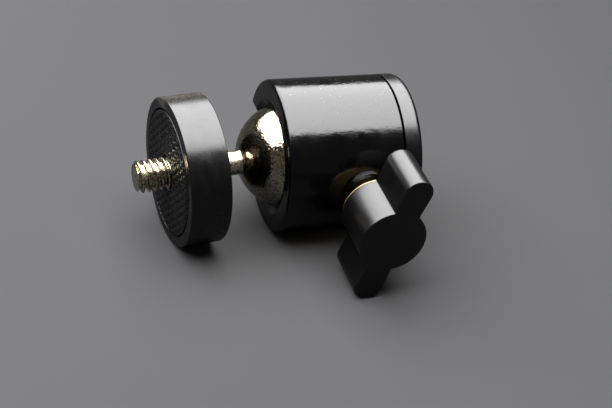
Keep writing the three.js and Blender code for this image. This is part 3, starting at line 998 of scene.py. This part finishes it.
@dataclass
class BallStem:
    """Plated ball, and the neck with its camera stud. Sizes are in millimetres.

    The root is the part of the neck that is sunk in the ball, and the fillet is where it leaves the ball.
    """

    ball_radius: float = 10.7
    neck_radius: float = 2.4
    neck_end: float = 14.0
    neck_step: float = 0.1
    fillet_width: float = 0.5
    fillet_height: float = 0.55
    fillet_sunk: float = 0.03
    root_depth: float = 0.4
    root_cone: float = 0.25
    root_inset: float = 0.1
    lead_slope: float = 0.9
    stud_tip: float = 31.7
    tip_chamfer: float = 0.45
    tip_ring: float = 0.97
    row_step: float = 0.06
    columns: int = 96
    ball_rows: int = 128
    ball_columns: int = 192

    def ball(self) -> np.ndarray:
        """Carries round a half circle with its poles on the stem: radius sin p and height cos p.

        Returns:
            Grid of points from pole to pole.
        """
        polar = np.linspace(0, np.pi, self.ball_rows + 1)
        section = self.ball_radius * np.stack([np.sin(polar), np.cos(polar)], axis=-1)
        return revolve(section, self.ball_columns)

    def stud(self) -> np.ndarray:
        """Carries round a plain neck section, then thread radii held inside a step and a tip cone.

        The neck meets the ball where its height is the root of the ball's radius squared less its own.

        Returns:
            Grid of points from the root to the middle of the tip.
        """
        wide = self.neck_radius + self.fillet_width
        seat = math.sqrt(self.ball_radius**2 - wide**2) - self.fillet_sunk
        shoulder = math.sqrt(self.ball_radius**2 - self.neck_radius**2)
        corner = np.array([
            [wide, seat],
            [self.neck_radius, shoulder],
            [self.neck_radius, shoulder + self.fillet_height],
        ])
        fillet = bend_rows(corner[:1], corner[1:2], corner[2:], steps=6).reshape(-1, 2)
        root = [[0, seat - self.root_depth], [wide - self.root_inset, seat - self.root_cone]]
        smooth = np.concatenate([root, fillet, [[self.neck_radius, self.neck_end - self.neck_step]]])
        angle = full_circle(self.columns)
        height = np.arange(self.neck_end, self.stud_tip, self.row_step)[:, None]
        tip = CAMERA_THREAD.crest - self.tip_chamfer
        radius = CAMERA_THREAD.radius(angle, height)
        radius = np.minimum(radius, self.neck_radius + (height - self.neck_end) * self.lead_slope)
        radius = np.minimum(radius, tip + (self.stud_tip - height))
        end = np.array([[tip, self.stud_tip], [tip * self.tip_ring, self.stud_tip], [0, self.stud_tip]])
        neck = revolve(smooth, self.columns)
        return np.concatenate([neck, around(radius, angle, height), revolve(end, self.columns)])

    def build(self) -> None:
        """Makes the ball and the stud."""
        Shell(STEM).add(self.ball(), wrap_rows=False).piece("ball_plated", Look.NICKEL, "ball", "ball")
        stud = Shell(STEM).add(self.stud(), wrap_rows=False)
        stud.piece("camera_stud", Look.STUD, "stem", "threaded_stud", sharp=40)


@dataclass
class Platform:
    """Platform disc with the ribbed rubber pad in its recess. Sizes are in millimetres.

    The ribs' half width and half length are shares of their pitch.
    """

    radius: float = 14.65
    back: float = 17.2
    front: float = 25.2
    edge_round: float = 0.3
    hole: float = 3.225
    hole_round: float = 0.2
    recess_radius: float = 12.6
    recess_floor: float = 24.0
    recess_round: float = 0.12
    corner_round: float = 0.1
    pad_outer: float = 12.25
    pad_inner: float = 3.425
    pad_bottom: float = 24.1
    pad_top: float = 25.55
    pad_edge: float = 0.2
    face_inset: float = 0.05
    inner_inset: float = 0.25
    inner_drop: float = 0.1
    rib_pitch: float = 1.3
    rib_height: float = 0.28
    rib_angle: float = 45.0
    rib_fade: float = 0.35
    rib_half_width: float = 0.33
    rib_half_length: float = 0.53
    disc_columns: int = 256
    pad_columns: int = 640
    pad_rows: int = 88

    def disc(self) -> np.ndarray:
        """Carries the section of the disc with its recess round."""
        section = rounded([
            (self.hole, self.back, self.hole_round),
            (self.radius, self.back, self.edge_round),
            (self.radius, self.front, self.edge_round),
            (self.recess_radius, self.front, self.recess_round),
            (self.recess_radius, self.recess_floor, self.corner_round),
            (self.hole, self.recess_floor, 0),
        ], steps=6)
        return revolve(section, self.disc_columns)

    def ribs(self, x: np.ndarray, z: np.ndarray) -> np.ndarray:
        """Works out the height of the short ribs, which lie crosswise in turn like a basket weave.

        The pad is ruled in square cells at the rib angle. In each cell lies one rib, a rounded ridge that
        falls off with the square of the distance from its middle line and the fourth power along it, and
        the ribs of neighbouring cells lie square to each other.

        Args:
            x: Sideways place on the pad.
            z: Upwards place on the pad.

        Returns:
            Height over the pad's ground.
        """
        lean = math.radians(self.rib_angle)
        u = (x * math.cos(lean) + z * math.sin(lean)) / self.rib_pitch
        v = (z * math.cos(lean) - x * math.sin(lean)) / self.rib_pitch
        swapped = np.mod(np.floor(u) + np.floor(v), 2) > 0
        u, v = np.mod(u, 1.0) - 0.5, np.mod(v, 1.0) - 0.5
        along, across = np.where(swapped, v, u), np.where(swapped, u, v)
        over = np.clip(1 - (across / self.rib_half_width) ** 2, 0, 1)
        ridge = over * np.clip(1 - (along / self.rib_half_length) ** 4, 0, 1)
        return self.rib_height * np.sqrt(ridge)

    def pad(self) -> np.ndarray:
        """Lays out the pad as a polar grid, whose ribs run out just inside its edge.

        Returns:
            Closed grid of points.
        """
        ground = self.pad_top - self.rib_height
        rim = rounded([
            (self.pad_inner, self.pad_bottom, 0),
            (self.pad_outer, self.pad_bottom, 0),
            (self.pad_outer, ground, self.pad_edge),
        ])
        flat = self.pad_outer - self.pad_edge
        first, last = flat - self.face_inset, self.pad_inner + self.inner_inset
        radius = np.linspace(first, last, self.pad_rows)[:, None]
        angle = full_circle(self.pad_columns)
        fade = np.clip((flat - radius) / self.rib_fade, 0, 1)
        ribs = self.ribs(radius * np.cos(angle), radius * np.sin(angle))
        face = around(radius, angle, ground + ribs * fade)
        inner = revolve(np.array([[self.pad_inner, ground - self.inner_drop]]), self.pad_columns)
        return np.concatenate([revolve(rim, self.pad_columns), face, inner])

    def build(self) -> None:
        """Makes the disc and its pad."""
        Shell(STEM).add(self.disc()).piece("disc", Look.DUST_AND_SHEEN, "platform", "platform_disc")
        Shell(STEM).add(self.pad()).piece("ribbed_pad", Look.RUBBER, "platform", "platform_pad", sharp=50)


@dataclass
class Clamp:
    """Clamp screw, its bush in the boss and the brass insert of the knob. Sizes are in millimetres."""

    bush_bore: float = 3.1
    bush_radius: float = 4.2
    bush_back: float = 12.0
    bush_round: float = 0.15
    bush_mouth: float = 0.3
    boss_top: float = 15.55
    screw_tip: float = 13.3
    screw_end: float = 26.55
    tip_radius: float = 2.5
    row_step: float = 0.06
    insert_back: float = 19.25
    insert_mouth: float = 0.15
    insert_round: float = 0.1
    insert_radius: float = 4.4
    flange_front: float = 19.45
    flange_radius: float = 6.4
    flange_round: float = 0.06
    screw_columns: int = 80
    bush_columns: int = 96
    insert_columns: int = 160

    def screw(self) -> np.ndarray:
        """Carries the thread's radii round, drawn in to a cone at the tip.

        Returns:
            Grid of points from the middle of one end to the middle of the other.
        """
        angle = full_circle(self.screw_columns)
        height = np.arange(self.screw_tip, self.screw_end, self.row_step)[:, None]
        radius = np.minimum(CLAMP_THREAD.radius(angle, height), self.tip_radius + (height - self.screw_tip))
        first = revolve(np.array([[0, self.screw_tip]]), self.screw_columns)
        last = revolve(np.array([[0, self.screw_end]]), self.screw_columns)
        return np.concatenate([first, around(radius, angle, height), last])

    def bush(self) -> np.ndarray:
        """Carries the section of the bush round."""
        section = rounded([
            (self.bush_bore, self.bush_back, self.bush_round),
            (self.bush_radius, self.bush_back, self.bush_round),
            (self.bush_radius, self.boss_top, self.bush_round),
            (self.bush_bore, self.boss_top, self.bush_mouth),
        ])
        return revolve(section, self.bush_columns)

    def insert(self) -> np.ndarray:
        """Carries the section of the insert round, with its flange at the back."""
        section = rounded([
            (self.bush_bore, self.insert_back, self.insert_mouth),
            (self.flange_radius, self.insert_back, self.insert_round),
            (self.flange_radius, self.flange_front, self.flange_round),
            (self.insert_radius, self.flange_front, 0),
            (self.insert_radius, self.screw_end, self.insert_round),
            (self.bush_bore, self.screw_end, 0),
        ])
        return revolve(section, self.insert_columns)

    def build(self) -> None:
        """Makes the screw, its bush and the insert."""
        Shell(CLAMP).add(self.bush()).piece("threaded_bush", Look.BLACKENED, "housing", "clamp_bush")
        screw = Shell(CLAMP).add(self.screw(), wrap_rows=False)
        screw.piece("knob_screw", Look.SPRING, "knob", "clamp_screw", sharp=40)
        Shell(CLAMP).add(self.insert()).piece("flanged_insert", Look.BRASS, "knob", "knob_insert")


@dataclass
class WingKnob:
    """Moulded knob: a round hub and two wings of one depth. Sizes are in millimetres."""

    hub_radius: float = 6.6
    back: float = 19.55
    face: float = 30.4
    reach: float = 13.75
    tip_radius: float = 2.85
    root_half: float = 2.4
    edge_round: float = 0.32
    corner_fillet: float = 0.3
    cavity_radius: float = 4.5
    cavity_end: float = 26.85
    lean_degrees: float = 17.5
    arc_points: int = 26
    side_steps: int = 10
    fillet_points: int = 9

    def outline(self) -> tuple[np.ndarray, np.ndarray]:
        """Follows the knob's outline in the plane of the wings.

        A quarter runs from the middle of a wing tip round the tip's arc, down the side of the wing, which
        leans in towards the hub, through a small fillet and round the hub. It is mirrored twice.

        Returns:
            Points and outward directions, both as rows along the wing and across it.
        """
        far = self.reach - self.tip_radius
        lean = math.asin((self.tip_radius - self.root_half) / far)
        side = np.array([-math.sin(lean), math.cos(lean)])
        down = np.array([-math.cos(lean), -math.sin(lean)])
        offset = self.root_half + self.corner_fillet
        ring = self.hub_radius + self.corner_fillet
        centre = side * offset - down * math.sqrt(ring**2 - offset**2)
        tip_angle = np.linspace(0, np.pi / 2 + lean, self.arc_points)
        tip_way = np.stack([np.cos(tip_angle), np.sin(tip_angle)], axis=-1)
        tip = np.array([far, 0]) + self.tip_radius * tip_way
        into_side = centre - side * self.corner_fillet
        run = straight_rows(tip[-1:], into_side[None], self.side_steps).reshape(-1, 2)[1:]
        first = math.atan2(-side[1], -side[0])
        last = math.atan2(-centre[1], -centre[0])
        turn = np.linspace(first, last, self.fillet_points)[1:]
        turn_way = np.stack([np.cos(turn), np.sin(turn)], axis=-1)
        fillet = centre + self.corner_fillet * turn_way
        hub_angle = np.linspace(math.atan2(centre[1], centre[0]), np.pi / 2, self.arc_points)[1:]
        hub_way = np.stack([np.cos(hub_angle), np.sin(hub_angle)], axis=-1)
        points = np.concatenate([tip, run, fillet, self.hub_radius * hub_way])
        ways = np.concatenate([tip_way, side + 0 * run, -turn_way, hub_way])
        mirror = np.array([-1, 1])
        points = np.concatenate([points, points[-2::-1] * mirror])
        ways = np.concatenate([ways, ways[-2::-1] * mirror])
        return np.concatenate([points, -points[1:-1]]), np.concatenate([ways, -ways[1:-1]])

    def build(self) -> None:
        """Stacks the outline from back to face with rounded edges, and sinks the cavity in its back."""
        points, ways = self.outline()

        def level(inset: float, height: float) -> np.ndarray:
            """Returns the outline at a height, drawn in by an inset."""
            flat = points - ways * inset
            return np.stack([flat[:, 0], height + 0 * flat[:, 0], -flat[:, 1]], axis=-1)

        def ring(radius: float, height: float) -> np.ndarray:
            """Returns a circle at a height, with a point for each point of the outline."""
            flat = unit(points) * radius
            return np.stack([flat[:, 0], height + 0 * flat[:, 0], -flat[:, 1]], axis=-1)

        edge = self.edge_round
        back = bend_rows(level(edge, self.back), level(0, self.back), level(0, self.back + edge), steps=5)
        front = bend_rows(level(0, self.face - edge), level(0, self.face), level(edge, self.face), steps=5)
        sides = straight_rows(back[-1], front[0], steps=12)[1:-1]
        cap = straight_rows(front[-1], ring(0, self.face), steps=6)[1:]
        cavity = np.stack([ring(0, self.cavity_end), ring(self.cavity_radius, self.cavity_end),
                           ring(self.cavity_radius, self.back)])
        grid = np.concatenate([cavity, back, sides, front, cap])
        axes = CLAMP.turned(-math.radians(self.lean_degrees))
        Shell(axes).add(grid, wrap_rows=False).piece("wing_grip", Look.NYLON, "knob", "wing_knob")


@dataclass
class HiddenParts:
    """Pieces inside the barrel, whose CAD shapes stay and get their finishes."""

    looks: tuple[tuple[str, Look], ...] = (
        ("seat_ring", Look.ACETAL),
        ("pressure_cup", Look.ZINC),
        ("cup_liner", Look.ACETAL),
        ("wave_spring", Look.SPRING),
        ("thrust_washer", Look.SPRING),
        ("wedge_pin", Look.SPRING),
    )

    def build(self) -> None:
        """Gives each CAD node its finish."""
        for name, look in self.looks:
            material = look.value.material(HOUSING)
            for slot in frame["nodes"][name].material_slots:
                slot.material = material
            log.info("%s: finish %s", name, look.value.name)


@dataclass
class Studio:
    """Paper floor, one soft box made of two lamps, and the camera. Angles in degrees, distances in metres.

    The plain lamp gives the level at which a colour renders about as it is written. The gloss lamp shows only
    in reflections, as bright as a real box is next to the dark paper that it lights.
    """

    azimuth: float = -20.5203
    elevation: float = 31.8188
    roll: float = 6.5581
    distance: float = 0.258224
    target: tuple[float, float, float] = (0.0093540, 0.0079801, 0.0031166)
    focal_pixels: float = 1250.0
    width_pixels: float = 612.0
    sensor: float = 36.0
    near_clip: float = 0.01
    lamp_size: tuple[float, float] = (0.75, 0.75)
    lamp_place: tuple[float, float, float] = (-0.17, 0.15, 0.42)
    lamp_watts: float = 4.3
    lamp_spread: float = 180.0
    gloss_size: tuple[float, float] = (1.03, 1.17)
    gloss_place: tuple[float, float, float] = (-0.0625, 0.305, 0.499)
    gloss_watts: float = 35.0
    gloss_spread: float = 150.0
    floor_size: float = 3.0
    floor_points: int = 9
    floor_color: str = "#7d7d7f"
    # Darker floor colour for glossy rays only: painted shade in the floor's reflections.
    floor_painted_shade_in_gloss: str = "#575759"
    floor_roughness: float = 0.95
    fibres: Relief = Relief(size=0.6, depth=0.05, detail=3.0, strength=0.5)
    world_strength: float = 0.02
    world_in_gloss: float = 0.1

    def camera(self) -> None:
        """Places the camera by azimuth, elevation, roll and distance from its target."""
        az, el, roll = (math.radians(v) for v in (self.azimuth, self.elevation, self.roll))
        back = np.array([math.sin(az) * math.cos(el), -math.cos(az) * math.cos(el), math.sin(el)])
        level = np.array([math.cos(az), math.sin(az), 0.0])
        above = np.cross(back, level)
        right = math.cos(roll) * level + math.sin(roll) * above
        up = -math.sin(roll) * level + math.cos(roll) * above
        matrix = np.eye(4)
        matrix[:3, :3] = np.stack([right, up, back], axis=1)
        matrix[:3, 3] = np.array(self.target) + back * self.distance
        data = bpy.data.cameras.new("camera")
        data.sensor_width = self.sensor
        data.lens = self.focal_pixels / self.width_pixels * self.sensor
        data.clip_start = self.near_clip
        camera = bpy.data.objects.new("camera", data)
        bpy.context.scene.collection.objects.link(camera)
        camera.matrix_world = Matrix(matrix.tolist())
        bpy.context.scene.camera = camera

    def paper(self) -> bpy.types.Material:
        """Makes matt paper with faint fibres. Glossy rays see it in a darker colour: painted shade in the
        floor's reflections on the object.

        Returns:
            The floor's material.
        """
        made = bpy.data.materials.new("matt_paper")
        made.use_nodes = True
        tree = made.node_tree
        tree.nodes.clear()
        # Painted shade: glossy rays get a darker floor colour than diffuse ones.
        mirrored = add_node(tree, "ShaderNodeLightPath", {}, {}).outputs["Is Glossy Ray"]
        color = add_node(tree, "ShaderNodeMix", {"data_type": "RGBA"}, {
            "Factor": mirrored,
            "A": linear(self.floor_color),
            "B": linear(self.floor_painted_shade_in_gloss),
        })
        place = add_node(tree, "ShaderNodeTexCoord", {}, {}).outputs["Object"]
        _, normal = self.fibres.wire(tree, place)
        shader = add_node(tree, "ShaderNodeBsdfPrincipled", {}, {
            "Base Color": color.outputs["Result"],
            "Roughness": self.floor_roughness,
            "Specular IOR Level": 0.0,
            "Normal": normal,
        })
        add_node(tree, "ShaderNodeOutputMaterial", {}, {"Surface": shader.outputs["BSDF"]})
        return made

    def floor(self) -> None:
        """Lays a flat square grid at table height."""
        line = np.linspace(-self.floor_size / 2, self.floor_size / 2, self.floor_points)
        x, y = np.meshgrid(line, line, indexing="ij")
        points = np.stack([x, y, 0 * x], axis=-1).reshape(-1, 3)
        index = np.arange(len(points)).reshape(x.shape)
        mesh = bpy.data.meshes.new("floor")
        mesh.from_pydata(points.tolist(), [], quads(index).tolist())
        mesh.materials.append(self.paper())
        floor = bpy.data.objects.new("floor", mesh)
        bpy.context.scene.collection.objects.link(floor)

    def lights(self) -> None:
        """Hangs the two lamps of the soft box overhead, one for plain light and one for gloss."""
        lamps = (
            ("soft_lamp", self.lamp_watts, self.lamp_spread, True, self.lamp_size, self.lamp_place),
            ("soft_sheen", self.gloss_watts, self.gloss_spread, False, self.gloss_size, self.gloss_place),
        )
        for name, watts, spread, diffuse, size, place in lamps:
            data = bpy.data.lights.new(name, "AREA")
            data.shape = "RECTANGLE"
            data.size, data.size_y = size
            data.energy = watts
            data.spread = math.radians(spread)
            lamp = bpy.data.objects.new(name, data)
            lamp.location = place
            lamp.visible_camera = False
            lamp.visible_diffuse = diffuse
            lamp.visible_glossy = not diffuse
            bpy.context.scene.collection.objects.link(lamp)

    def world(self) -> None:
        """Sets a dim, even world, a little brighter in gloss and of the floor's colour to the camera."""
        world = bpy.data.worlds.new("studio")
        world.use_nodes = True
        tree = world.node_tree
        tree.nodes.clear()
        path = add_node(tree, "ShaderNodeLightPath", {}, {}).outputs
        dim = add_node(tree, "ShaderNodeMapRange", {}, {
            "Value": path["Is Glossy Ray"],
            "To Min": self.world_strength,
            "To Max": self.world_in_gloss,
        })
        strength = add_node(tree, "ShaderNodeMapRange", {}, {
            "Value": path["Is Camera Ray"],
            "To Min": dim.outputs["Result"],
            "To Max": 1.0,
        })
        color = add_node(tree, "ShaderNodeMix", {"data_type": "RGBA"}, {
            "Factor": path["Is Camera Ray"],
            "A": WHITE,
            "B": linear(self.floor_color),
        })
        background = add_node(tree, "ShaderNodeBackground", {}, {
            "Color": color.outputs["Result"],
            "Strength": strength.outputs["Result"],
        })
        add_node(tree, "ShaderNodeOutputWorld", {}, {"Surface": background.outputs["Background"]})
        bpy.context.scene.world = world

    def build(self) -> None:
        """Makes the stage and sets plain colour handling."""
        self.camera()
        self.floor()
        self.lights()
        self.world()
        bpy.context.scene.view_settings.view_transform = "Standard"


def corners(box: object) -> list[list[float]]:
    """Turns a box of two corners to plain lists of numbers."""
    return [[float(v) for v in corner] for corner in box]


def main() -> None:
    """Builds the stage and each sub-assembly in turn."""
    logging.basicConfig(level=logging.INFO, format="%(name)s: %(message)s")
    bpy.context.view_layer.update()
    for part in (Studio(), Barrel(), BaseCap(), BallStem(), Platform(), Clamp(), WingKnob(), HiddenParts()):
        part.build()


if __name__ == "__main__":
    main()
